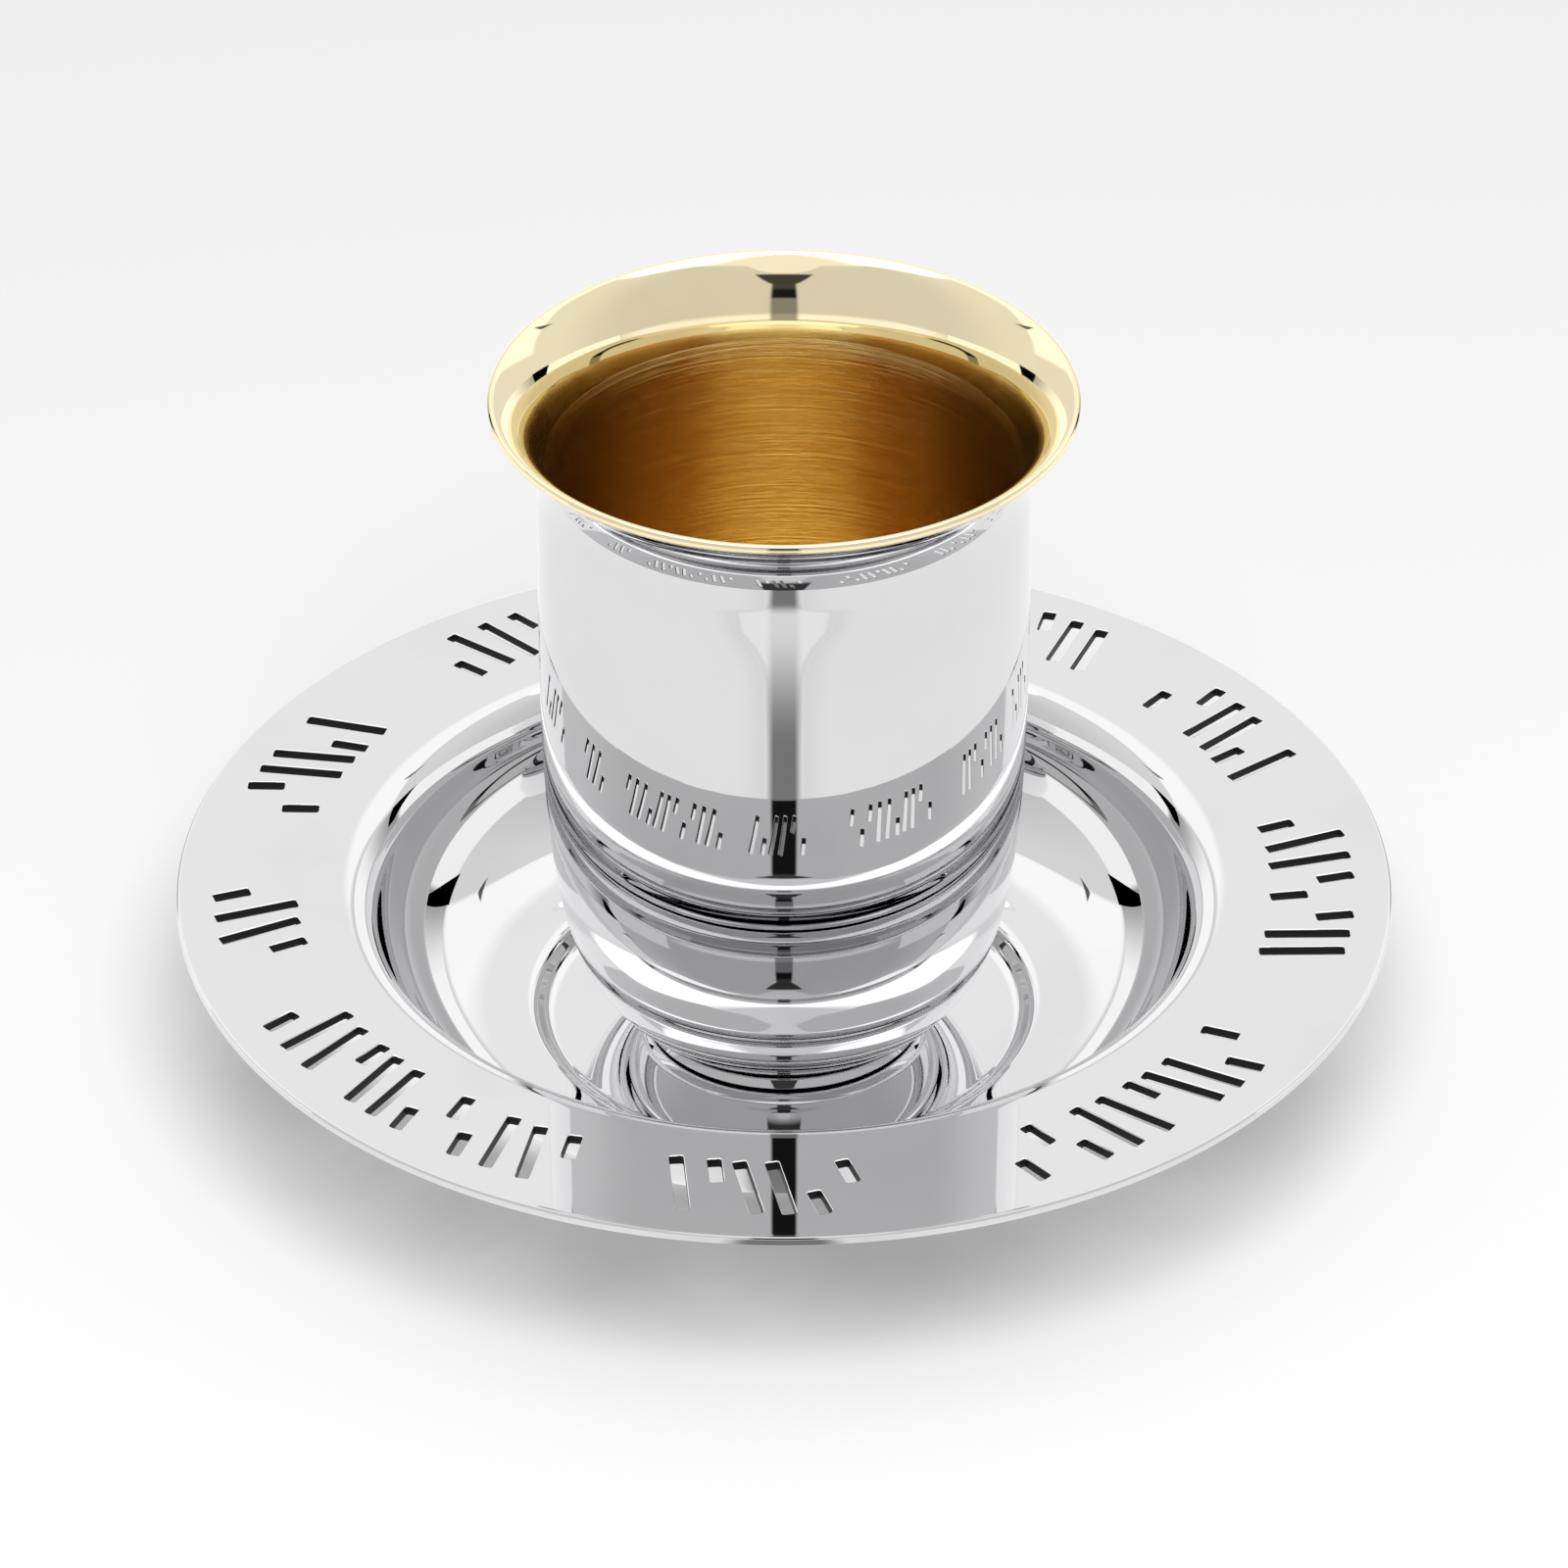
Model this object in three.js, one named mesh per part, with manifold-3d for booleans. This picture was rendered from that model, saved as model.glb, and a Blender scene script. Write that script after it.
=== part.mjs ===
// A kiddush cup standing in its saucer.
// The cup is one spun silver vessel: a ring foot, a rounded bowl, a nearly straight body and a
// neck that flares to a thick rolled lip. The saucer is one pressed sheet: a flat flange, a
// rounded shoulder, a deep well and, in its middle, a shallow round seat for the foot. Rows of
// plain bars are pierced through the flange, in groups, where such a saucer carries its words.
// Millimetres, +Z up. The origin is the middle of the saucer's underside.
import * as THREE from "three";
import { mergeVertices } from "three/addons/utils/BufferGeometryUtils.js";
import Module from "manifold-3d";

// Saucer.
const SAUCER_RADIUS = 75;
const SHEET = 1.2;
const FLANGE_TOP = 21.8;
const SHOULDER_START = 55.5;
const SHOULDER_BEND = 5.3;
const WALL_TILT = 82;
const WELL_FLOOR = 3.8;
const SEAT_STEP_START = 32.4;
const SEAT_BEND = 2.2;
const SEAT_TILT = 55;
const SAUCER_SIDES = 60;
const SHOULDER_STEPS = 4;
const WELL_STEPS = 6;
const SEAT_STEPS = 2;

// Pierced bars of the flange, set in groups round it by angle in degrees.
const BAR_WIDTH = 1.7;
const LONG_BAR = 10.4;
const SHORT_BAR = 4.6;
const BAR_LEAN = 14;
const PAIR_OFFSET = 1.9;
const SHORT_OFFSET = (LONG_BAR - SHORT_BAR) / 2;
const CUTTER_HEIGHT = 3 * SHEET;
const BAND_RADIUS = 65.2;
const MARK_PITCH = 7.1;
const WORDS = [
  { centre: -92, marks: 3 },
  { centre: -49, marks: 5 },
  { centre: -2.5, marks: 4 },
  { centre: 31, marks: 3 },
  { centre: 65, marks: 4 },
  { centre: 118, marks: 4 },
  { centre: 157.5, marks: 3 },
  { centre: 189, marks: 2 },
  { centre: 227, marks: 6 },
];
// Each mark is two parallel bars. along runs round the flange and out is away from the axis.
const MARK_KINDS = [
  [{ along: -PAIR_OFFSET, out: 0, length: LONG_BAR }, { along: PAIR_OFFSET, out: 0, length: LONG_BAR }],
  [
    { along: -PAIR_OFFSET, out: SHORT_OFFSET, length: SHORT_BAR },
    { along: PAIR_OFFSET, out: -SHORT_OFFSET, length: SHORT_BAR },
  ],
  [
    { along: -PAIR_OFFSET, out: SHORT_OFFSET, length: SHORT_BAR },
    { along: PAIR_OFFSET, out: 0, length: LONG_BAR },
  ],
  [
    { along: -PAIR_OFFSET, out: 0, length: LONG_BAR },
    { along: PAIR_OFFSET, out: -SHORT_OFFSET, length: SHORT_BAR },
  ],
];

// Cup. Heights are above the seat, which the foot stands on.
const WALL = 1.2;
const STANDING_GAP = 0.3;
const FOOT_RADIUS = 17.5;
const FOOT_HEIGHT = 2;
const FOOT_INNER_RADIUS = 16;
const FOOT_RECESS = 1.4;
const INNER_FLOOR_RADIUS = 14.5;
const FLOOR_MARGIN = 0.5;
const BOWL_START_RADIUS = 17.6;
const BOWL_SWELL_RADIUS = 26.5;
const BOWL_SWELL_HEIGHT = 9.4;
const BODY_RADIUS = 29.7;
const BODY_PULL_HEIGHT = 14.5;
const BOWL_TOP = 56;
const BOWL_STEPS = 9;
const BOWL_STEP_BIAS = 1.25;
const NECK_START = 77.1;
const NECK_START_RADIUS = 29.5;
const NECK_BENDS = [
  { bend: 17, toTilt: 22, steps: 2 },
  { bend: 9.4, toTilt: 61.3, steps: 3 },
];
const LIP_ANGLES = [-45, 8, 61.3];
const CUP_SIDES = 48;

const SILVER = { color: 0xd9dadc, roughness: 0.06, metalness: 1 };

const radians = THREE.MathUtils.degToRad;
const wasm = await Module();
wasm.setup();

// Adds an arc to a path that runs inwards and down, from one tilt below level to another.
function addBend(path, bend, fromTilt, toTilt, steps) {
  const start = path[path.length - 1];
  const sign = Math.sign(toTilt - fromTilt);
  const from = radians(fromTilt);
  for (let i = 1; i <= steps; i += 1) {
    const tilt = from + (radians(toTilt) - from) * (i / steps);
    path.push({
      r: start.r - sign * bend * (Math.sin(tilt) - Math.sin(from)),
      z: start.z + sign * bend * (Math.cos(tilt) - Math.cos(from)),
      tilt,
    });
  }
}

// The upper face of the saucer, from its edge to the axis.
function saucerFace() {
  const path = [
    { r: SAUCER_RADIUS, z: FLANGE_TOP, tilt: 0 },
    { r: SHOULDER_START, z: FLANGE_TOP, tilt: 0 },
  ];
  addBend(path, SHOULDER_BEND, 0, WALL_TILT, SHOULDER_STEPS);
  const wallTop = path[path.length - 1];
  const wellBend = (wallTop.z - WELL_FLOOR) / (1 - Math.cos(radians(WALL_TILT)));
  addBend(path, wellBend, WALL_TILT, 0, WELL_STEPS);
  path.push({ r: SEAT_STEP_START, z: WELL_FLOOR, tilt: 0 });
  addBend(path, SEAT_BEND, 0, SEAT_TILT, SEAT_STEPS);
  const slope = path[path.length - 1];
  const arcDrop = SEAT_BEND * (1 - Math.cos(radians(SEAT_TILT)));
  const straightDrop = WELL_FLOOR - SHEET - 2 * arcDrop;
  path.push({ r: slope.r - straightDrop / Math.tan(slope.tilt), z: slope.z - straightDrop, tilt: slope.tilt });
  addBend(path, SEAT_BEND, SEAT_TILT, 0, SEAT_STEPS);
  path.push({ r: 0, z: SHEET, tilt: 0 });
  return path;
}

// The sheet keeps one thickness, measured square to its face.
function saucerProfile() {
  const face = saucerFace();
  const back = face.map(({ r, z, tilt }) => ({
    r: r + SHEET * Math.sin(tilt),
    z: z - SHEET * Math.cos(tilt),
  }));
  return [...back.reverse(), ...face].map(({ r, z }) => new THREE.Vector2(r, z));
}

// Outer face of the bowl and body: one curve from the foot, upright where the body begins.
function bowlCurve() {
  return new THREE.CubicBezierCurve(
    new THREE.Vector2(BOWL_START_RADIUS, FOOT_HEIGHT),
    new THREE.Vector2(BOWL_SWELL_RADIUS, BOWL_SWELL_HEIGHT),
    new THREE.Vector2(BODY_RADIUS, BODY_PULL_HEIGHT),
    new THREE.Vector2(BODY_RADIUS, BOWL_TOP),
  );
}

// The neck flares from upright to the lip in bends that tighten as they rise.
function neckFace() {
  const face = [{
    point: new THREE.Vector2(NECK_START_RADIUS, NECK_START),
    inward: new THREE.Vector2(-1, 0),
  }];
  let fromTilt = 0;
  for (const { bend, toTilt, steps } of NECK_BENDS) {
    const start = face[face.length - 1].point;
    const from = radians(fromTilt);
    for (let i = 1; i <= steps; i += 1) {
      const tilt = from + radians(toTilt - fromTilt) * (i / steps);
      face.push({
        point: new THREE.Vector2(
          start.x + bend * (Math.cos(from) - Math.cos(tilt)),
          start.y + bend * (Math.sin(tilt) - Math.sin(from)),
        ),
        inward: new THREE.Vector2(-Math.cos(tilt), Math.sin(tilt)),
      });
    }
    fromTilt = toTilt;
  }
  return face;
}

// Points and inward normals of the cup's outer face, from the foot's top to the lip.
function cupFace() {
  const curve = bowlCurve();
  const face = [];
  for (let i = 0; i <= BOWL_STEPS; i += 1) {
    const share = Math.pow(i / BOWL_STEPS, BOWL_STEP_BIAS);
    const tangent = curve.getTangent(share);
    face.push({ point: curve.getPoint(share), inward: new THREE.Vector2(-tangent.y, tangent.x) });
  }
  return [...face, ...neckFace()];
}

// The lip is a half round across the wall's end.
function lipPoints(end) {
  const radius = WALL / 2;
  const middle = end.point.clone().addScaledVector(end.inward, radius);
  const along = new THREE.Vector2(end.inward.y, -end.inward.x);
  return LIP_ANGLES.map((degrees) => middle.clone()
    .addScaledVector(end.inward, radius * Math.sin(radians(degrees)))
    .addScaledVector(along, radius * Math.cos(radians(degrees))));
}

function cupProfile() {
  const outer = cupFace();
  const inner = outer.map(({ point, inward }) => point.clone().addScaledVector(inward, WALL));
  const floor = FOOT_RECESS + WALL;
  const insideWall = inner.filter((point) => point.y > floor + FLOOR_MARGIN).reverse();
  return [
    new THREE.Vector2(0, FOOT_RECESS),
    new THREE.Vector2(FOOT_INNER_RADIUS, FOOT_RECESS),
    new THREE.Vector2(FOOT_INNER_RADIUS, STANDING_GAP),
    new THREE.Vector2(FOOT_RADIUS, STANDING_GAP),
    ...outer.map(({ point }) => point),
    ...lipPoints(outer[outer.length - 1]),
    ...insideWall,
    new THREE.Vector2(INNER_FLOOR_RADIUS, floor),
    new THREE.Vector2(0, floor),
  ];
}

// Turns a profile about the axis into a closed body that stands along +Z.
function turned(profile, sides) {
  const geometry = new THREE.LatheGeometry(profile, sides);
  geometry.rotateX(Math.PI / 2);
  return geometry;
}

function toSolid(geometry) {
  geometry.deleteAttribute("normal");
  geometry.deleteAttribute("uv");
  const merged = mergeVertices(geometry, 1e-4);
  const corners = merged.index.array;
  const triangles = [];
  for (let i = 0; i < corners.length; i += 3) {
    const [a, b, c] = [corners[i], corners[i + 1], corners[i + 2]];
    if (a !== b && b !== c && c !== a) {
      triangles.push(a, b, c);
    }
  }
  return new wasm.Manifold(new wasm.Mesh({
    numProp: 3,
    vertProperties: new Float32Array(merged.attributes.position.array),
    triVerts: new Uint32Array(triangles),
  }));
}

function toGeometry(solid) {
  const mesh = solid.getMesh();
  const geometry = new THREE.BufferGeometry();
  geometry.setAttribute("position", new THREE.BufferAttribute(new Float32Array(mesh.vertProperties), 3));
  geometry.setIndex(new THREE.BufferAttribute(new Uint32Array(mesh.triVerts), 1));
  geometry.computeVertexNormals();
  return geometry;
}

// A cutter for one bar, through the flange at the given angle round the saucer.
function barCutter(bar, angle) {
  const cutter = new THREE.BoxGeometry(bar.length, BAR_WIDTH, CUTTER_HEIGHT);
  cutter.rotateZ(radians(BAR_LEAN));
  cutter.translate(BAND_RADIUS + bar.out, bar.along, FLANGE_TOP - SHEET / 2);
  cutter.rotateZ(angle);
  return toSolid(cutter);
}

function piercedBars() {
  const cutters = [];
  for (const word of WORDS) {
    for (let i = 0; i < word.marks; i += 1) {
      const angle = radians(word.centre + (i - (word.marks - 1) / 2) * MARK_PITCH);
      const kind = MARK_KINDS[(i + word.marks) % MARK_KINDS.length];
      cutters.push(...kind.map((bar) => barCutter(bar, angle)));
    }
  }
  return cutters;
}

function makeSaucer() {
  let solid = toSolid(turned(saucerProfile(), SAUCER_SIDES));
  for (const cutter of piercedBars()) {
    solid = solid.subtract(cutter);
  }
  const mesh = new THREE.Mesh(toGeometry(solid), new THREE.MeshStandardMaterial(SILVER));
  mesh.name = "saucer";
  return mesh;
}

function makeCup() {
  const mesh = new THREE.Mesh(turned(cupProfile(), CUP_SIDES), new THREE.MeshStandardMaterial(SILVER));
  mesh.name = "cup";
  mesh.position.z = SHEET;
  return mesh;
}

const kiddushCup = new THREE.Group();
kiddushCup.add(makeSaucer(), makeCup());
export default kiddushCup;
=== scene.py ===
# %% [markdown]
# # A kiddush cup in its saucer
# The object is two pieces of polished silver plate: a spun cup with a gilded inside, and a pressed
# saucer with a round seat in its middle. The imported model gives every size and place. This
# notebook makes the smooth forms, the finishes and the light around them.

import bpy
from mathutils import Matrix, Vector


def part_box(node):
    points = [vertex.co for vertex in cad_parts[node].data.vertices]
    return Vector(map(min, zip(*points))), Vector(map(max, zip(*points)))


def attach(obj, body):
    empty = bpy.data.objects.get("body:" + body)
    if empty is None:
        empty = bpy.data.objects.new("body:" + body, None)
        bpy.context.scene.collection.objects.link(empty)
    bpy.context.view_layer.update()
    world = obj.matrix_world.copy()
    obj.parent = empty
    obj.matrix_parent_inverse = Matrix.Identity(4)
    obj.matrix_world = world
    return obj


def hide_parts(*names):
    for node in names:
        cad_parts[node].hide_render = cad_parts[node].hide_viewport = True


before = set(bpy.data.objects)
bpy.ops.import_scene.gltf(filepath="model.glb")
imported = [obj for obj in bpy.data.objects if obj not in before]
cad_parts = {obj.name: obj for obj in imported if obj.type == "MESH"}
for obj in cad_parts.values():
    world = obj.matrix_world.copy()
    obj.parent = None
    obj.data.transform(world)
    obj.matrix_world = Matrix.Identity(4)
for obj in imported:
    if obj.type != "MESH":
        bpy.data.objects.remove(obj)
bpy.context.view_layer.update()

# %% Other modules
import math

import bmesh
import bpy
from mathutils import Matrix, Vector
from mathutils.geometry import interpolate_bezier

MM = 0.001
scene = bpy.context.scene
scene.view_settings.view_transform = "Standard"
print("view transform:", scene.view_settings.view_transform)

# %% [markdown]
# ## Places from the frame
# The saucer stands on the table at height 0. The cup stands on the saucer's seat, one sheet's
# thickness up. Both are turned about the Z axis, so a piece needs only its half outline.

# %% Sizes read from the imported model
saucer_low, saucer_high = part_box("saucer")
cup_low, cup_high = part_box("cup")
saucer_radius = saucer_high.x / MM
flange_top = saucer_high.z / MM
cup_top = cup_high.z / MM
sheet = 1.2
print(f"saucer radius {saucer_radius:.2f} mm, flange top {flange_top:.2f} mm, lip {cup_top:.2f} mm")

# %% [markdown]
# ## The template pen
# A spinner or a press works from a template: half of the outline, cut in sheet metal. The pen
# below draws such a template in the XZ plane. It goes straight, or it bends, and a bend is a
# spin of its last point. A mirror finish shows every kink, so bends have many short steps.

# %% A pen that draws a half outline
FRONT = Vector((0, -1, 0))


class Pen:
    """Draws a half outline, in millimetres, from a start point and a heading in degrees."""

    def __init__(self, radius, height, heading):
        self.mesh = bmesh.new()
        self.tip = self.mesh.verts.new((radius, 0, height))
        self.heading = heading

    def place(self):
        return self.tip.co.x, self.tip.co.z

    def line_to(self, radius, height):
        self.tip = bmesh.ops.extrude_vert_indiv(self.mesh, verts=[self.tip])["verts"][0]
        self.tip.co = (radius, 0, height)

    def straight(self, length, steps=1):
        along = Vector((math.cos(math.radians(self.heading)), 0, math.sin(math.radians(self.heading))))
        for _ in range(steps):
            spot = self.tip.co + along * (length / steps)
            self.line_to(spot.x, spot.z)

    def bend(self, radius, turn, steps):
        """Turns left for a positive angle and right for a negative one."""
        side = math.radians(self.heading + math.copysign(90, turn))
        centre = self.tip.co + Vector((math.cos(side), 0, math.sin(side))) * radius
        made = bmesh.ops.spin(
            self.mesh, geom=[self.tip], cent=centre, axis=FRONT, angle=math.radians(turn), steps=steps
        )
        self.tip = [item for item in made["geom_last"] if isinstance(item, bmesh.types.BMVert)][0]
        self.heading += turn

    def curve_to(self, first_handle, second_handle, end, steps):
        corners = [self.place(), first_handle, second_handle, end]
        points = [Vector((radius, 0, height)) for radius, height in corners]
        for spot in interpolate_bezier(*points, steps + 1)[1:]:
            self.line_to(spot.x, spot.z)
        tangent = points[3] - points[2]
        self.heading = math.degrees(math.atan2(tangent.z, tangent.x))


print("pen ready")

# %% [markdown]
# ## Turning a template
# One spin about the Z axis makes the whole surface. Its seam and its poles are merged, and the
# faces are turned outwards before anything is added to them.

# %% Spin a template into a surface
SECTORS = 240


def turn_template(pen):
    """Spins the pen's outline about Z and returns the mesh, merged and facing outwards."""
    mesh = pen.mesh
    bmesh.ops.spin(
        mesh, geom=mesh.verts[:] + mesh.edges[:], cent=(0, 0, 0), axis=(0, 0, 1),
        angle=math.tau, steps=SECTORS, use_merge=True,
    )
    bmesh.ops.remove_doubles(mesh, verts=mesh.verts, dist=0.001)
    bmesh.ops.recalc_face_normals(mesh, faces=mesh.faces)
    return mesh


def finish_piece(mesh, name, finishes):
    """Makes the object, in metres, with smooth faces and sharp arrises."""
    bmesh.ops.scale(mesh, vec=(MM, MM, MM), verts=mesh.verts)
    for face in mesh.faces:
        face.smooth = True
    data = bpy.data.meshes.new(name)
    mesh.to_mesh(data)
    mesh.free()
    data.set_sharp_from_angle(angle=math.radians(32))
    for finish in finishes:
        data.materials.append(finish)
    piece = bpy.data.objects.new(name, data)
    scene.collection.objects.link(piece)
    print(name, "faces:", len(data.polygons))
    return piece


print("sectors:", SECTORS)

# %% [markdown]
# ## Shader maths
# A socket wrapper lets a pattern be written as an expression: each operator adds its Math node.
# Every other node comes from one method, which takes its settings first and its sockets second.

# %% Sockets as values
class Socket:
    """An output of a node tree that can be added, multiplied and so on."""

    def __init__(self, tree, link):
        self.tree = tree
        self.link = link

    def maths(self, operation, *values):
        return self.tree.node("ShaderNodeMath", {"operation": operation}, dict(enumerate(values)))

    def __add__(self, other):
        return self.maths("ADD", self, other)

    __radd__ = __add__

    def __sub__(self, other):
        return self.maths("SUBTRACT", self, other)

    def __rsub__(self, other):
        return self.maths("SUBTRACT", other, self)

    def __mul__(self, other):
        return self.maths("MULTIPLY", self, other)

    __rmul__ = __mul__

    def __truediv__(self, other):
        return self.maths("DIVIDE", self, other)

    def __pow__(self, other):
        return self.maths("POWER", self, other)

    def rise(self, low, high, start=0.0, end=1.0):
        """Goes smoothly from start to end as this value goes from low to high."""
        values = {"Value": self, "From Min": low, "From Max": high, "To Min": start, "To Max": end}
        return self.tree.node("ShaderNodeMapRange", {"interpolation_type": "SMOOTHSTEP"}, values)


# %% One method for nodes
FACTOR, COLOUR_A, COLOUR_B, COLOUR_RESULT = 0, 6, 7, 2


class Nodes:
    """The node tree of a material or of the world."""

    def __init__(self, owner, shader):
        self.owner = owner
        owner.use_nodes = True
        self.tree = owner.node_tree
        self.shader = self.tree.nodes[shader]

    def node(self, kind, settings, sockets, output=0):
        made = self.tree.nodes.new(kind)
        for name, value in settings.items():
            setattr(made, name, value)
        for name, value in sockets.items():
            self.feed(made, name, value)
        return Socket(self, made.outputs[output])

    def feed(self, made, name, value):
        if isinstance(value, Socket):
            self.tree.links.new(value.link, made.inputs[name])
        else:
            made.inputs[name].default_value = value

    def set(self, **sockets):
        for name, value in sockets.items():
            self.feed(self.shader, name.replace("_", " "), value)

    def place(self, stretch=(1, 1, 1)):
        """Object coordinates, stretched along the axes."""
        spot = self.node("ShaderNodeTexCoord", {}, {}, "Object")
        return self.node("ShaderNodeMapping", {}, {"Vector": spot, "Scale": stretch})

    def axes(self, spot):
        """The X, Y and Z of a vector."""
        return [self.node("ShaderNodeSeparateXYZ", {}, {"Vector": spot}, axis) for axis in "XYZ"]

    def noise(self, spot, scale, detail=3.0, roughness=0.5):
        values = {"Vector": spot, "Scale": scale, "Detail": detail, "Roughness": roughness}
        return self.node("ShaderNodeTexNoise", {}, values)

    def mix(self, share, first, second):
        """A colour between two, by a share from 0 to 1."""
        values = {FACTOR: share, COLOUR_A: (*first, 1.0), COLOUR_B: (*second, 1.0)}
        return self.node("ShaderNodeMix", {"data_type": "RGBA"}, values, COLOUR_RESULT)

    def bump(self, height, strength, distance):
        values = {"Height": height, "Strength": strength, "Distance": distance}
        return self.node("ShaderNodeBump", {}, values)


def new_finish(name):
    return Nodes(bpy.data.materials.new(name), "Principled BSDF")


def angle_between(x, y):
    """Angle between a place and the +Y axis, in degrees, the same on both sides."""
    return x.maths("ABSOLUTE", x.maths("ARCTAN2", x, y)) * math.degrees(1)


print("shader helpers ready")

# %% [markdown]
# ## Mirror silver
# Polished silver plate is a mirror, so most of its look is what stands around it. Its own marks
# are faint: rings left by the polishing wheel, and a little haze where fingers and cloth have
# been. The rings run round the axis, so the noise is stretched along X and Y and tight along Z.

# %% Silver finish
SILVER = (0.75, 0.75, 0.757)
SILVER_HAZED = (0.72, 0.72, 0.73)


def make_silver(name, rings):
    finish = new_finish(name)
    haze = finish.noise(finish.place(), 45.0, 4.0)
    wheel = finish.noise(finish.place(rings), 1.0, 2.0)
    finish.set(
        Base_Color=finish.mix(haze.rise(0.45, 0.75), SILVER, SILVER_HAZED),
        Metallic=1.0,
        Roughness=0.012 + 0.03 * haze.rise(0.5, 0.8),
        Normal=finish.bump(wheel, 0.02, 0.00002),
    )
    return finish.owner


cup_silver = make_silver("cup_silver", (40, 40, 1500))
saucer_silver = make_silver("saucer_silver", (60, 60, 60))
print("silver:", SILVER)

# %% [markdown]
# ## Gilding
# The lip and the flare are gilded and polished. Below the neck the gold was brushed while the
# cup turned, which leaves fine rings. There the colour holds painted light: a painted highlight,
# bright gold at the back and the front, and painted shade, darker and browner towards the sides.
# Light bounces several times between the walls, and each bounce takes more blue away.

# %% Polished gilt
GILT_PALE = (0.95, 0.84, 0.57)
GILT_HAZED = (0.92, 0.80, 0.53)


def make_polished_gilt():
    finish = new_finish("polished_gilt")
    haze = finish.noise(finish.place(), 60.0, 4.0)
    finish.set(
        Base_Color=finish.mix(haze.rise(0.4, 0.8), GILT_PALE, GILT_HAZED),
        Metallic=1.0,
        Roughness=0.03 + 0.05 * haze.rise(0.45, 0.8),
    )
    return finish.owner


polished_gilt = make_polished_gilt()
print("polished gilt:", GILT_PALE)

# %% Brushed gilt
GILT_PAINTED_HIGHLIGHT = (1.0, 0.84, 0.44)
GILT_PAINTED_SHADE = (0.72, 0.44, 0.15)
# Angles from the back, in degrees, over which the painted highlight fades into painted shade, or comes
# back.
BACK_EDGE, BACK_FADE, FRONT_FADE = (12, 24), (34, 62), (118, 150)
RAGGEDNESS = 14


def make_brushed_gilt():
    finish = new_finish("brushed_gilt")
    strokes = finish.noise(finish.place((14, 14, 2600)), 1.0, 5.0, 0.65)
    patches = finish.noise(finish.place((30, 30, 300)), 1.0, 3.0)
    x, y, _ = finish.axes(finish.place())
    ragged = angle_between(x, y) + RAGGEDNESS * (patches - 0.5)
    # Painted light: the colour is a painted highlight near the back and the front and painted shade at
    # the sides, broken up by the brush strokes.
    back = ragged.rise(*BACK_EDGE, 0.55, 0) + ragged.rise(*BACK_FADE, 0.45, 0)
    shade = (back + ragged.rise(*FRONT_FADE)) * (0.9 + 0.8 * strokes)
    finish.set(
        Base_Color=finish.mix(shade.maths("MINIMUM", shade, 1.0), GILT_PAINTED_SHADE, GILT_PAINTED_HIGHLIGHT),
        Metallic=1.0,
        Roughness=0.15 + 0.12 * patches,
        Normal=finish.bump(strokes, 0.6, 0.0002),
    )
    return finish.owner


brushed_gilt = make_brushed_gilt()
print("brushed gilt:", GILT_PAINTED_HIGHLIGHT, "to", GILT_PAINTED_SHADE)

# %% [markdown]
# ## The cup
# The cup's template runs out under the foot, round the foot ring, up the bowl, the body and the
# neck, over the half-round lip, and down the inside to the floor. The wall is one thickness, so
# the inside repeats the outside's bends with larger radii.

# %% Cup template
WALL = 1.2
FOOT_RADIUS = 17.5
FOOT_INNER_RADIUS = 16.0
FOOT_HEIGHT = 2.0
FOOT_RECESS = 1.4
STANDING_GAP = 0.3
FILLET = 0.25
BOWL_SWELL = (26.5, 9.4)
BODY_RADIUS = 29.7
BODY_PULL = 14.5
BOWL_TOP = 56.0
INNER_PULL = 14.9
INNER_SWELL_RADIUS = 25.9
INNER_FLAT_RADIUS = 8.5
TAPER_BEND = 1113.0
TAPER_TURN = 1.07
NECK_BEND, NECK_TURN = 17.0, 22.0
FLARE_BEND, FLARE_TURN = 9.4, 39.3


def draw_cup():
    pen = Pen(0, FOOT_RECESS, 0)
    pen.straight(FOOT_INNER_RADIUS - FILLET, 4)
    pen.bend(FILLET, -90, 3)
    pen.straight(FOOT_RECESS - STANDING_GAP - 2 * FILLET)
    pen.bend(FILLET, 90, 3)
    pen.straight(FOOT_RADIUS - FOOT_INNER_RADIUS - 2 * FILLET)
    pen.bend(FILLET, 90, 3)
    pen.line_to(FOOT_RADIUS, FOOT_HEIGHT - FILLET)
    pen.line_to(FOOT_RADIUS + 0.1, FOOT_HEIGHT)
    pen.curve_to(BOWL_SWELL, (BODY_RADIUS, BODY_PULL), (BODY_RADIUS, BOWL_TOP), 64)
    pen.bend(TAPER_BEND, TAPER_TURN, 8)
    pen.bend(NECK_BEND, -NECK_TURN - TAPER_TURN, 12)
    pen.bend(FLARE_BEND, -FLARE_TURN, 20)
    pen.bend(WALL / 2, 180, 10)
    pen.bend(FLARE_BEND + WALL, FLARE_TURN, 20)
    pen.bend(NECK_BEND + WALL, NECK_TURN + TAPER_TURN, 12)
    pen.bend(TAPER_BEND - WALL, -TAPER_TURN, 6)
    inner_floor = FOOT_RECESS + WALL
    pen.curve_to(
        (BODY_RADIUS - WALL, INNER_PULL), (INNER_SWELL_RADIUS, inner_floor),
        (INNER_FLAT_RADIUS, inner_floor), 40,
    )
    pen.line_to(0, inner_floor)
    return pen


cup_pen = draw_cup()
print("cup template points:", len(cup_pen.mesh.verts))

# %% [markdown]
# The finishes go on by place: silver outside, polished gold from the lip's outer edge over and in
# to the neck, brushed gold below.

# %% Turn the cup and give it its finishes
SILVER_FACE, POLISHED_FACE, BRUSHED_FACE = 0, 1, 2
BRUSHED_TOP = 80.5
LIP_DEPTH = 1.4
UNDER_LIP = -0.75


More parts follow.
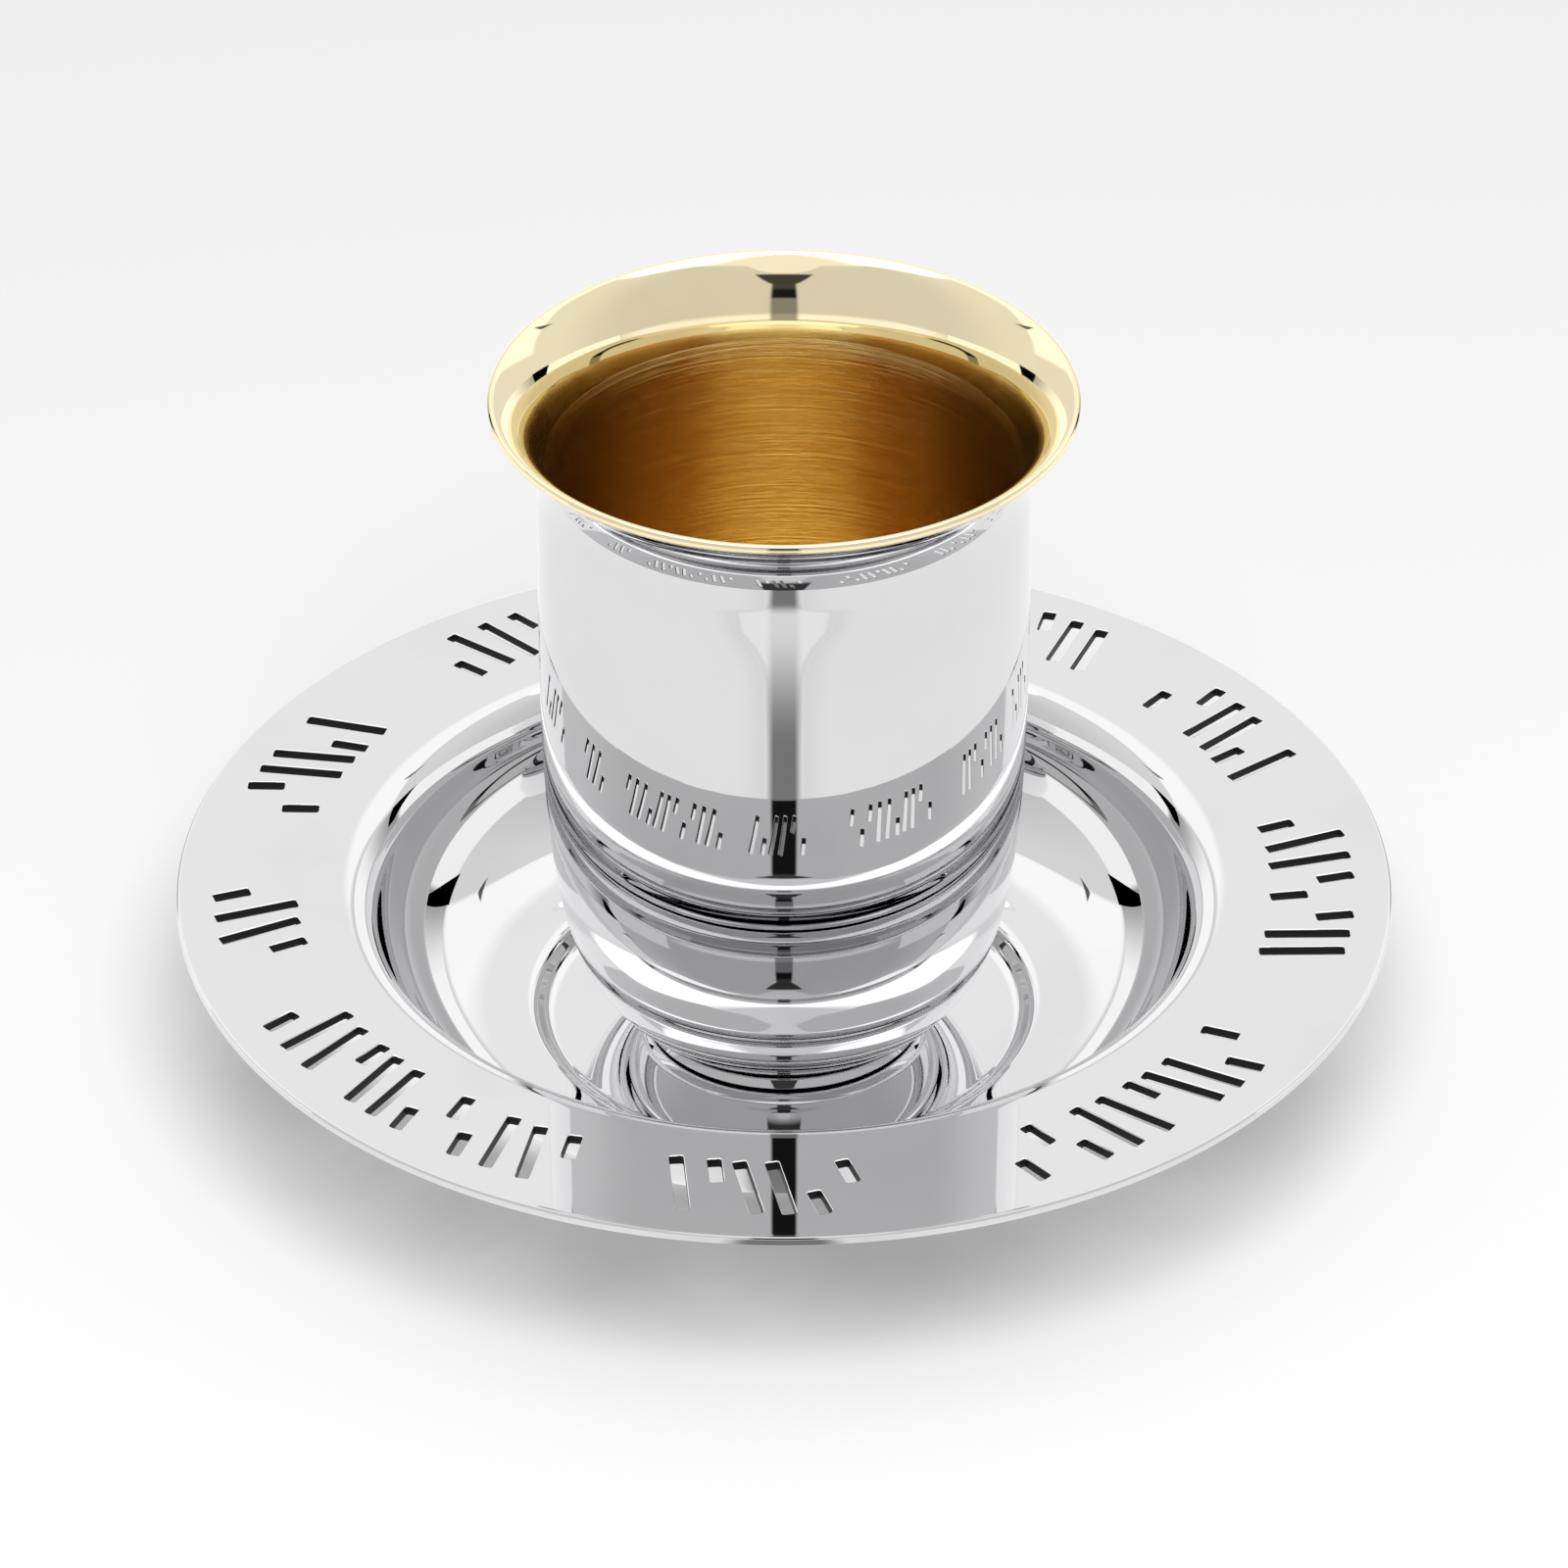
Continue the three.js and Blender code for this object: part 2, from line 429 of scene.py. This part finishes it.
def cup_finish(face):
    centre = face.calc_center_median()
    outward = Vector((centre.x, centre.y, 0)).dot(face.normal) > 0
    if centre.z > cup_top - sheet - LIP_DEPTH and face.normal.z > UNDER_LIP:
        return POLISHED_FACE
    if outward or centre.z < FOOT_RECESS + 0.5 * WALL:
        return SILVER_FACE
    return POLISHED_FACE if centre.z > BRUSHED_TOP else BRUSHED_FACE


def make_cup():
    mesh = turn_template(cup_pen)
    for face in mesh.faces:
        face.material_index = cup_finish(face)
    bmesh.ops.translate(mesh, vec=(0, 0, sheet), verts=mesh.verts)
    return finish_piece(mesh, "spun_cup", [cup_silver, polished_gilt, brushed_gilt])


cup = make_cup()
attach(cup, "root")
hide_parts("cup")

# %% [markdown]
# ## The saucer
# The saucer is one sheet, so the template is only its upper face, and solidify gives the sheet
# its thickness underneath. Rings close to each bend keep the flat parts truly flat: on a mirror
# a face that shares its corners with a bend would look dented.

# %% Saucer template
SHOULDER_START = 55.5
SHOULDER_BEND = 5.3
WALL_TILT = 82.0
WELL_FLOOR = 3.8
SEAT_STEP_START = 32.4
SEAT_BEND = 2.2
SEAT_TILT = 55.0
GUARD = 0.25
RIM_GUARD = 0.8


def draw_saucer():
    pen = Pen(saucer_radius, flange_top, 180)
    pen.straight(RIM_GUARD)
    pen.straight(saucer_radius - SHOULDER_START - RIM_GUARD - GUARD)
    pen.straight(GUARD)
    pen.bend(SHOULDER_BEND, WALL_TILT, 30)
    rim_height = pen.place()[1]
    well_bend = (rim_height - WELL_FLOOR) / (1 - math.cos(math.radians(WALL_TILT)))
    pen.bend(well_bend, -WALL_TILT, 36)
    pen.straight(pen.place()[0] - SEAT_STEP_START, 4)
    pen.bend(SEAT_BEND, SEAT_TILT, 12)
    arc_drop = SEAT_BEND * (1 - math.cos(math.radians(SEAT_TILT)))
    slope_drop = WELL_FLOOR - sheet - 2 * arc_drop
    pen.straight(slope_drop / math.sin(math.radians(SEAT_TILT)))
    pen.bend(SEAT_BEND, -SEAT_TILT, 12)
    pen.straight(GUARD)
    pen.line_to(FOOT_RADIUS, sheet)
    pen.line_to(0, sheet)
    return pen


saucer_pen = draw_saucer()
print("saucer template points:", len(saucer_pen.mesh.verts))

# %% [markdown]
# ## Piercing the flange
# Groups of plain bars are sawn through the flange, in pairs that lean the same way. The cutters
# are boxes, set round the flange by angle, and one boolean cuts them all.

# %% Bars of the flange
BAR_WIDTH = 1.7
LONG_BAR = 10.4
SHORT_BAR = 4.6
BAR_LEAN = 14.0
PAIR_OFFSET = 1.9
SHORT_OFFSET = (LONG_BAR - SHORT_BAR) / 2
BAND_RADIUS = 65.2
MARK_PITCH = 7.1
# Each group: the angle of its middle, in degrees from the right, and its number of marks.
GROUPS = [(-92, 3), (-49, 5), (-2.5, 4), (31, 3), (65, 4), (118, 4), (157.5, 3), (189, 2), (227, 6)]
# Each mark: its bars, by their place along the flange, their place outwards, and their length.
MARK_KINDS = [
    [(-PAIR_OFFSET, 0, LONG_BAR), (PAIR_OFFSET, 0, LONG_BAR)],
    [(-PAIR_OFFSET, SHORT_OFFSET, SHORT_BAR), (PAIR_OFFSET, -SHORT_OFFSET, SHORT_BAR)],
    [(-PAIR_OFFSET, SHORT_OFFSET, SHORT_BAR), (PAIR_OFFSET, 0, LONG_BAR)],
    [(-PAIR_OFFSET, 0, LONG_BAR), (PAIR_OFFSET, -SHORT_OFFSET, SHORT_BAR)],
]
BAR_CORNER = 0.3
print("groups:", len(GROUPS), "marks:", sum(marks for _, marks in GROUPS))


# %% Cutters for the bars
def once(items):
    """Each item once, in the order in which it came, so that every run makes the same mesh."""
    return list(dict.fromkeys(items))


def add_bar(mesh, along, out, length, angle):
    """One cutter box with rounded upright corners, in its place through the flange."""
    box = bmesh.ops.create_cube(mesh, size=1.0)["verts"]
    bmesh.ops.scale(mesh, vec=(length, BAR_WIDTH, 4 * sheet), verts=box)
    upright = once(
        edge for vert in box for edge in vert.link_edges
        if abs(edge.verts[0].co.z - edge.verts[1].co.z) > sheet
    )
    made = bmesh.ops.bevel(
        mesh, geom=upright, offset=BAR_CORNER, segments=3, profile=0.5, affect="EDGES", material=-1
    )
    box = once([vert for vert in box if vert.is_valid] + made["verts"])
    centre = Vector((BAND_RADIUS + out, along, flange_top - sheet / 2))
    placing = (
        Matrix.Rotation(angle, 4, "Z") @ Matrix.Translation(centre)
        @ Matrix.Rotation(math.radians(BAR_LEAN), 4, "Z")
    )
    bmesh.ops.transform(mesh, matrix=placing, verts=box)


def make_cutters():
    mesh = bmesh.new()
    for centre, marks in GROUPS:
        for number in range(marks):
            angle = math.radians(centre + (number - (marks - 1) / 2) * MARK_PITCH)
            for along, out, length in MARK_KINDS[(number + marks) % len(MARK_KINDS)]:
                add_bar(mesh, along, out, length, angle)
    return finish_piece(mesh, "bar_cutters", [])


cutters = make_cutters()

# %% [markdown]
# The sheet gets its thickness and a small round along its outer edge. Then the bars are cut, and
# each cut gets a fine bevel: polishing always breaks the arris, and that bright line round every
# opening is what makes it read as cut metal. The cut walls themselves stay dull and dark.

# %% Dull finish of the cut walls
SAWN_DARK = (0.012, 0.012, 0.013)
SAWN_LIGHT = (0.035, 0.035, 0.037)


def make_cut_finish():
    finish = new_finish("sawn_edge")
    saw = finish.noise(finish.place((300, 300, 3000)), 1.0, 3.0)
    finish.set(
        Base_Color=finish.mix(saw, SAWN_DARK, SAWN_LIGHT),
        Metallic=1.0,
        Roughness=0.4 + 0.25 * saw,
        Normal=finish.bump(saw, 0.3, 0.00005),
    )
    return finish.owner


sawn_edge = make_cut_finish()
print("cut walls:", sawn_edge.name)

# %% Turn, thicken and pierce the saucer
EDGE_ROUND = 0.4
NEAR = 0.02


def make_sheet():
    mesh = turn_template(saucer_pen)
    bmesh.ops.solidify(mesh, geom=mesh.faces[:], thickness=sheet)
    rim = [
        edge for edge in mesh.edges
        if all(abs(vert.co.xy.length - saucer_radius) < NEAR for vert in edge.verts)
        and abs(edge.verts[0].co.z - edge.verts[1].co.z) < NEAR
    ]
    bmesh.ops.bevel(
        mesh, geom=rim, offset=EDGE_ROUND, segments=4, profile=0.5, affect="EDGES", material=-1
    )
    return finish_piece(mesh, "pressed_saucer", [saucer_silver, sawn_edge])


def pierce(piece):
    """Cuts the bars with one boolean and applies it."""
    cut = piece.modifiers.new("bars", "BOOLEAN")
    cut.operation = "DIFFERENCE"
    cut.solver = "EXACT"
    cut.object = cutters
    graph = bpy.context.evaluated_depsgraph_get()
    data = bpy.data.meshes.new_from_object(piece.evaluated_get(graph))
    piece.modifiers.clear()
    piece.data = data
    bpy.data.objects.remove(cutters)


saucer = make_sheet()
pierce(saucer)
print("pierced faces:", len(saucer.data.polygons))

# %% Kinds of faces on the flange
BAND_WIDTH = 16.0
CLOSE = 0.1
FLAT = 0.9999


def in_band(vert):
    return abs(vert.co.xy.length / MM - BAND_RADIUS) < BAND_WIDTH / 2


def is_cut_wall(face):
    heights = [vert.co.z / MM for vert in face.verts]
    upright = abs(face.normal.z) < 0.3 and max(heights) - min(heights) > sheet / 4
    return upright and all(in_band(vert) for vert in face.verts)


def lies_flat(face):
    return abs(face.normal.z) > FLAT and face.verts[0].co.z / MM > flange_top - sheet - CLOSE


def on_top(face):
    return lies_flat(face) and face.verts[0].co.z / MM > flange_top - CLOSE


print(f"band from {BAND_RADIUS - BAND_WIDTH / 2:.1f} to {BAND_RADIUS + BAND_WIDTH / 2:.1f} mm")

# %% Mend what a bevel folds over
def mend_folded(mesh):
    """Joins each folded sliver with its neighbours, and divides them anew."""
    for _ in range(3):
        flat = [face for face in mesh.faces if len(face.verts) > 3 and on_top(face)]
        bmesh.ops.triangulate(mesh, faces=flat, quad_method="BEAUTY", ngon_method="BEAUTY")
        folded = [face for face in mesh.faces if on_top(face) and face.normal.z < 0]
        print("folded slivers:", len(folded))
        if not folded:
            break
        around = once(
            face for sliver in folded for edge in sliver.edges for face in edge.link_faces
            if on_top(face)
        )
        bmesh.ops.dissolve_faces(mesh, faces=around)
        mesh.normal_update()


# %% Break the arrises of the cuts
ARRIS = 0.1
MERGE = 0.004
SHORTEST = 0.008
SILVER_SHEET, SAWN = 0, 1


def break_arrises(piece):
    mesh = bmesh.new()
    mesh.from_mesh(piece.data)
    bmesh.ops.remove_doubles(mesh, verts=mesh.verts, dist=MERGE * MM)
    bmesh.ops.dissolve_degenerate(mesh, edges=mesh.edges, dist=SHORTEST * MM)
    arrises = [
        edge for edge in mesh.edges
        if len(edge.link_faces) == 2
        and sum(is_cut_wall(face) for face in edge.link_faces) == 1
        and edge.verts[0].co.z / MM > flange_top - CLOSE
    ]
    bmesh.ops.bevel(
        mesh, geom=arrises, offset=ARRIS * MM, segments=2, profile=0.5, affect="EDGES", material=-1
    )
    mend_folded(mesh)
    for face in mesh.faces:
        face.smooth = not lies_flat(face)
        face.material_index = SAWN if is_cut_wall(face) else SILVER_SHEET
    mesh.to_mesh(piece.data)
    mesh.free()
    piece.data.set_sharp_from_angle(angle=math.radians(20))
    print("arrises broken:", len(arrises))


break_arrises(saucer)
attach(saucer, "root")
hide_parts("saucer")

# %% [markdown]
# ## The stage
# Silver shows the room, so the room is built like a studio's light tent. What is far away
# could be lamps and cards too, but the world can hold it by direction alone, which is quick and
# clean: a grey front screen with a slot for the camera and a hood over it, bright side and back
# screens, and a bright top. Angles are in degrees, from the front and up from the table.

# %% Values of the tent
FRONT_SCREEN, SIDE_SCREEN, BACK_SCREEN, CORNER_SCREEN = 0.72, 0.86, 1.04, 1.25
FRONT_FOOT, SIDE_FOOT, BACK_FOOT = 1.1, 0.70, 0.85
FRONT_OVERHEAD, OVERHEAD = 0.98, 1.9
FOOT_TOP, BACK_FOOT_TOP = (9, 12), (22, 25)
FOOT_TURN, SIDE_TURN, BACK_TURN, MIDDLE_TURN = (60, 90), (75, 118), (127, 130), (158, 172)
OVERHEAD_TURN = (55, 85)
TOP_EDGE = 62
TOP_ARCH, TOP_DIP = (3, 35, 0, 11), (70, 120, 0, 12)
world = bpy.data.worlds.new("light_tent")
scene.world = world
tent = Nodes(world, "Background")


def within(value, low, high, soft):
    """1 between low and high, and 0 outside, with soft edges."""
    return value.rise(low - soft, low + soft) * value.rise(high - soft, high + soft, 1, 0)


def blend(share, under, over):
    return under + share * (over - under)


print("screens:", FRONT_SCREEN, SIDE_SCREEN, BACK_SCREEN, "overhead:", OVERHEAD)

# %% Screens of the tent
def tent_screens(azimuth, height):
    """The front, side and back screens with their feet, and the top above them."""
    screen = blend(azimuth.rise(*SIDE_TURN), FRONT_SCREEN, SIDE_SCREEN)
    foot = blend(azimuth.rise(*FOOT_TURN), FRONT_FOOT, SIDE_FOOT)
    light = blend(height.rise(*FOOT_TOP), foot, screen)
    back_screen = blend(azimuth.rise(*MIDDLE_TURN), CORNER_SCREEN, BACK_SCREEN)
    back = blend(height.rise(*BACK_FOOT_TOP), BACK_FOOT, back_screen)
    light = blend(azimuth.rise(*BACK_TURN), light, back)
    screen_top = TOP_EDGE + azimuth.rise(*TOP_ARCH) - azimuth.rise(*TOP_DIP)
    overhead = blend(azimuth.rise(*OVERHEAD_TURN), FRONT_OVERHEAD, OVERHEAD)
    return blend((height - screen_top).rise(-1, 1), light, overhead)


# %% Dark places of the tent
SLOT_EDGE, SLOT_HEIGHTS = (5, 7), (3, 49)
SLOT_DARKENS, SLOT_PALES = (27, 31, 0.65, 0.985), (38, 44, 0, 0.075)
HOOD_FOOT, HOOD_FLARE, HOOD_HEIGHTS, HOOD_SHADE = 47, 0.8, (48, 61), 0.92
JOINT_ANGLE, JOINT_FOOT, JOINT_FLARE, JOINT_HEIGHTS, JOINT_SHADE = 129, 36.7, 3.5, (36.8, 38.6), 0.9


def tent_marks(azimuth, height):
    """What the camera's slot, its hood, and the joint of two screens leave of the light."""
    slot = azimuth.rise(*SLOT_EDGE, 1, 0) * within(height, *SLOT_HEIGHTS, 1.5)
    slot_shade = slot * (height.rise(*SLOT_DARKENS) - height.rise(*SLOT_PALES))
    hood_edge = SLOT_EDGE[0] + 1 + (height - HOOD_FOOT) * HOOD_FLARE
    hood = (hood_edge - azimuth).rise(-1, 1) * within(height, *HOOD_HEIGHTS, 1.5)
    reach = (height - JOINT_FOOT) * JOINT_FLARE
    joint = within(azimuth - JOINT_ANGLE, 0 - reach, reach, 0.5) * within(height, *JOINT_HEIGHTS, 0.3)
    return (1 - slot_shade) * (1 - HOOD_SHADE * hood) * (1 - JOINT_SHADE * joint)


def make_tent():
    x, y, z = tent.axes(tent.node("ShaderNodeTexCoord", {}, {}, "Generated"))
    azimuth = angle_between(x, 0 - y)
    height = z.maths("ARCSINE", z) * math.degrees(1)
    light = tent_screens(azimuth, height) * tent_marks(azimuth, height)
    tent.set(Color=(1, 1, 1, 1), Strength=light)


make_tent()
print("tent ready")

# %% [markdown]
# ## Pieces of the stage
# What stands close is seen from another side by the well than by the flare, so it can't be in the
# world and has to be real sheets. Each is dull, gives its own light, and is hidden from the rays
# that shouldn't meet it: some are for the camera alone, and some for the mirrors alone.

# %% Helpers for the stage
BLACK, WHITE = (0, 0, 0), (1, 1, 1)
FROM_ALL_BUT_MIRRORS = ("camera", "diffuse", "shadow")


def set_glow(finish, colour, strength, base=0.0):
    """Makes a dull finish that gives its own light."""
    finish.set(
        Base_Color=(base, base, base, 1), Roughness=1.0, Specular_IOR_Level=0.0,
        Emission_Color=colour, Emission_Strength=strength,
    )


def stage_piece(name, mesh, finish, hidden_from):
    """A piece of the stage, from a mesh in metres."""
    data = bpy.data.meshes.new(name)
    mesh.to_mesh(data)
    mesh.free()
    data.materials.append(finish.owner)
    piece = bpy.data.objects.new(name, data)
    scene.collection.objects.link(piece)
    for ray in hidden_from:
        setattr(piece, f"visible_{ray}", False)
    return piece


def floor_mesh(drop):
    mesh = bmesh.new()
    bmesh.ops.create_grid(mesh, x_segments=1, y_segments=1, size=3.0)
    bmesh.ops.translate(mesh, vec=(0, 0, -drop), verts=mesh.verts)
    return mesh


def from_axis(x, y):
    """Distance from the axis in millimetres."""
    return (x * x + y * y) ** 0.5 / MM


print("stage helpers ready")

# %% [markdown]
# The camera's floor takes a soft shadow from one lamp above the front. Under the saucer a patch
# glows, painted light that takes the saucer's shadow away where the openings show the floor, and
# the open floor glows faintly too, so that the shadow stays pale.

# %% Floor that the camera sees
FLOOR_GREY = 0.41
FLOOR_GLOW = 0.25
GLOW_STRENGTH = 0.68
PATCH_BACK = 33.0
PATCH_EDGE = (64, 72)
UNDER_SAUCER = (68, 76)


def make_floor_finish():
    finish = new_finish("pale_floor")
    x, y, _ = finish.axes(finish.place())
    # Painted light: a glowing patch under the saucer, in place of its shadow where the openings show
    # the floor.
    painted_light_patch = from_axis(x, y - PATCH_BACK * MM).rise(*PATCH_EDGE, 1, 0)
    painted_light_patch = painted_light_patch * from_axis(x, y).rise(*UNDER_SAUCER, 1, 0)
    colour = finish.mix(painted_light_patch, (FLOOR_GLOW, FLOOR_GLOW, FLOOR_GLOW), WHITE)
    set_glow(finish, colour, GLOW_STRENGTH, FLOOR_GREY)
    return finish


floor = stage_piece("floor", floor_mesh(0.0), make_floor_finish(), ("glossy",))
print("floor grey:", FLOOR_GREY)

# %% [markdown]
# Mirrors don't see that floor. They see a glowing white sheet in its place, with painted shade on
# it: a dark stripe in line with the camera's slot, running out towards the front and fading with
# distance, and at each side a painted dark line that spreads like a funnel, with the sheet a little
# darker outside it.

# %% Floor that the mirrors see
SLOT_SIDE = (4, 8)
SLOT_END = (122, 168, 0.78, 0.08)
FUNNEL_ANGLE, FUNNEL_START, FUNNEL_STEP, FUNNEL_GROWTH = 6.3, 135, 24.5, 13
FUNNEL_LINE_SHADE = 0.20
SHEET_GLOW = 1.03


def make_sheet_finish():
    finish = new_finish("white_sheet")
    x, y, _ = finish.axes(finish.place())
    distance, angle = from_axis(x, y), angle_between(x, 0 - y)
    # Painted shade: a dark stripe towards the front, a dark line along each side of the funnel, and a
    # darker sheet outside it.
    slot = angle.rise(*SLOT_SIDE, 1, 0) * distance.rise(*SLOT_END)
    spread = (distance - FUNNEL_START) / FUNNEL_STEP
    beyond = angle - (FUNNEL_ANGLE + FUNNEL_GROWTH * spread.maths("MAXIMUM", spread, 0.0) ** 3.0)
    funnel_shade_line = within(beyond, -0.6, 0.6, 1.4) * distance.rise(118, 136)
    outside = beyond.rise(-1, 3) * (0.04 + beyond.rise(0, 14, 0.10, 0))
    shade = slot + (1 - slot) * (FUNNEL_LINE_SHADE * funnel_shade_line + outside)
    set_glow(finish, finish.mix(shade, WHITE, BLACK), SHEET_GLOW)
    return finish


white_sheet = stage_piece("white_sheet", floor_mesh(0.0002), make_sheet_finish(), FROM_ALL_BUT_MIRRORS)
print("sheet glow:", SHEET_GLOW)

# %% [markdown]
# A low bright screen curves round the sides and the back, and a narrow dark card stands before it
# at each side. They end below the cup's lip, so the well sees them and the flare doesn't: they
# draw the bright ring and the two dark leaves in the well.

# %% Low screen around the saucer
SCREEN_REACH = 300.0
SCREEN_TOP = 150.0
SCREEN_BACK_TOP = 128.0
SCREEN_START, SCREEN_SWEEP, SCREEN_STEPS = 80, 200, 64
SCREEN_GLOW = 1.2


def low_screen_mesh():
    """A strip round the back, from one side to the other, lower in the middle of the back."""
    mesh = bmesh.new()
    rungs = []
    for step in range(SCREEN_STEPS + 1):
        turn = SCREEN_START + SCREEN_SWEEP * step / SCREEN_STEPS
        angle = math.radians(turn)
        back = math.cos(math.radians(turn - 180)) ** 4
        top = SCREEN_TOP + (SCREEN_BACK_TOP - SCREEN_TOP) * back
        x, y = SCREEN_REACH * math.sin(angle), -SCREEN_REACH * math.cos(angle)
        rungs.append([mesh.verts.new((x, y, 0)), mesh.verts.new((x, y, top))])
    for (low, high), (next_low, next_high) in zip(rungs, rungs[1:]):
        mesh.faces.new([low, next_low, next_high, high])
    bmesh.ops.scale(mesh, vec=(MM, MM, MM), verts=mesh.verts)
    return mesh


def make_screen_finish():
    finish = new_finish("low_screen")
    x, y, _ = finish.axes(finish.place())
    angle = angle_between(x, 0 - y)
    light = angle.rise(128, 131, 1.15, 0.40) + angle.rise(131, 158, 0, 0.80)
    set_glow(finish, finish.mix(light / SCREEN_GLOW, BLACK, WHITE), SCREEN_GLOW)
    return finish


low_screen = stage_piece("low_screen", low_screen_mesh(), make_screen_finish(), FROM_ALL_BUT_MIRRORS)
print("low screen faces:", len(low_screen.data.polygons))

# %% Dark cards before the screen
CARD_CORNERS = [(203, 188, 62), (193, 201, 62), (193, 201, 143), (224, 152, 143)]


def card_mesh(side):
    mesh = bmesh.new()
    mesh.faces.new([mesh.verts.new((side * x * MM, y * MM, z * MM)) for x, y, z in CARD_CORNERS])
    return mesh


dark_card = new_finish("dark_card")
set_glow(dark_card, (*BLACK, 1), 0.0)
cards = [
    stage_piece(f"card_{name}", card_mesh(side), dark_card, FROM_ALL_BUT_MIRRORS)
    for name, side in (("left", -1), ("right", 1))
]
print("cards:", [card.name for card in cards])

# %% Backdrop
BACKDROP_RADIUS = 2.9
BACKDROP_GLOW = 0.9


def make_backdrop():
    mesh = bmesh.new()
    bmesh.ops.create_uvsphere(mesh, u_segments=48, v_segments=24, radius=BACKDROP_RADIUS)
    finish = new_finish("pale_backdrop")
    set_glow(finish, (*WHITE, 1), BACKDROP_GLOW)
    return stage_piece("backdrop", mesh, finish, ("glossy", "diffuse", "shadow"))


backdrop = make_backdrop()
print("backdrop radius:", BACKDROP_RADIUS)

# %% Lamp
LAMP_PLACE = Vector((0.08, -0.6, 1.05))
LAMP_ENERGY = 19.5
LAMP_SIZE = 0.9

lamp_data = bpy.data.lights.new("front_lamp", "AREA")
lamp_data.energy = LAMP_ENERGY
lamp_data.shape = "DISK"
lamp_data.size = LAMP_SIZE
lamp = bpy.data.objects.new("front_lamp", lamp_data)
scene.collection.objects.link(lamp)
lamp.location = LAMP_PLACE
lamp.rotation_euler = (-LAMP_PLACE).to_track_quat("-Z", "Y").to_euler()
lamp.visible_glossy = False
print("lamp at", tuple(round(value, 2) for value in lamp.location))

# %% [markdown]
# ## Camera
# A long lens from a good arm's length away looks down at a little over a third of a right angle,
# which shows the gilded inside and the whole saucer.

# %% Camera
CAMERA_TARGET = Vector((0, 0, 0.0351))
CAMERA_DISTANCE = 0.901
CAMERA_ELEVATION = math.radians(33.29)
LENS_LENGTH, SENSOR_WIDTH = 168.7, 36.0

lens = bpy.data.cameras.new("camera")
lens.lens = LENS_LENGTH
lens.sensor_width = SENSOR_WIDTH
camera = bpy.data.objects.new("camera", lens)
scene.collection.objects.link(camera)
arm = Vector((0, -math.cos(CAMERA_ELEVATION), math.sin(CAMERA_ELEVATION)))
camera.location = CAMERA_TARGET + CAMERA_DISTANCE * arm
camera.rotation_euler = (math.pi / 2 - CAMERA_ELEVATION, 0, 0)
scene.camera = camera
print("camera at", tuple(round(value, 4) for value in camera.location))
